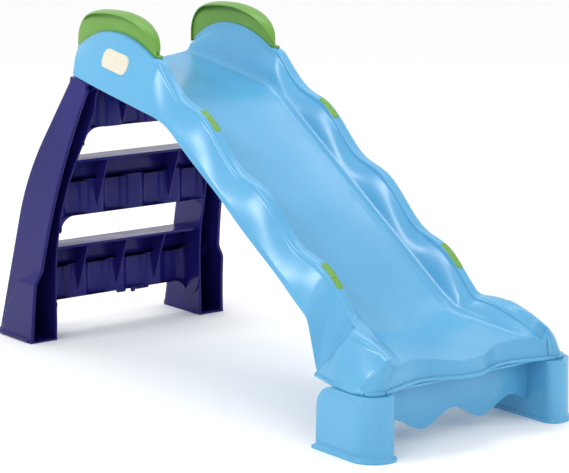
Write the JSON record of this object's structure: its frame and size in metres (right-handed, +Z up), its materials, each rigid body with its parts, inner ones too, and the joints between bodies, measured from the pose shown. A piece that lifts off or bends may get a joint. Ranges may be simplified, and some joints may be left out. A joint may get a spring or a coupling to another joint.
{
  "type": "wave slide",
  "caption": "Toddler slide with wavy side rims, a dished chute, arched handrails, a low front foot and a ladder that folds under the chute.",
  "frame": {"origin": "on the ground, at the middle of the length and the width of the whole slide", "axes": "+X along the slide from the ladder to the exit, +Z up, +Y to the left of someone going down"},
  "size_m": [1.209, 0.494, 0.68],
  "materials": {
    "blue_plastic": "satin, fine moulded texture",
    "navy_plastic": "satin, slightly glossy",
    "green_plastic": "satin",
    "plaque": "glossy",
    "steel": "zinc plated"
  },
  "bodies": {
    "slide": {"slide_bed": "blue_plastic", "front_foot": "blue_plastic", "handrail_left": "green_plastic", "handrail_right": "green_plastic", "insert_upper_left": "green_plastic", "insert_upper_right": "green_plastic", "insert_lower_left": "green_plastic", "insert_lower_right": "green_plastic", "badge_left": "plaque", "badge_right": "plaque", "pivot_block_left": "blue_plastic", "pivot_block_right": "blue_plastic", "pivot_pin_left": "steel", "pivot_pin_right": "steel", "pin_clip_left": "steel", "pin_clip_right": "steel", "ladder_stops": "blue_plastic", "exit_bosses": "blue_plastic", "foot_screws": "steel"},
    "ladder": {"ladder_side_left": "navy_plastic", "ladder_side_right": "navy_plastic", "lower_step": "navy_plastic", "middle_step": "navy_plastic", "top_step": "navy_plastic", "hinge_ear_left": "navy_plastic", "hinge_ear_right": "navy_plastic"}
  },
  "joints": [
    {"name": "ladder_fold", "type": "hinge", "parent": "slide", "child": "ladder", "pos_m": [-0.3105, 0, 0.545], "axis": [0, -1, 0], "range_deg": [0, 76]}
  ]
}
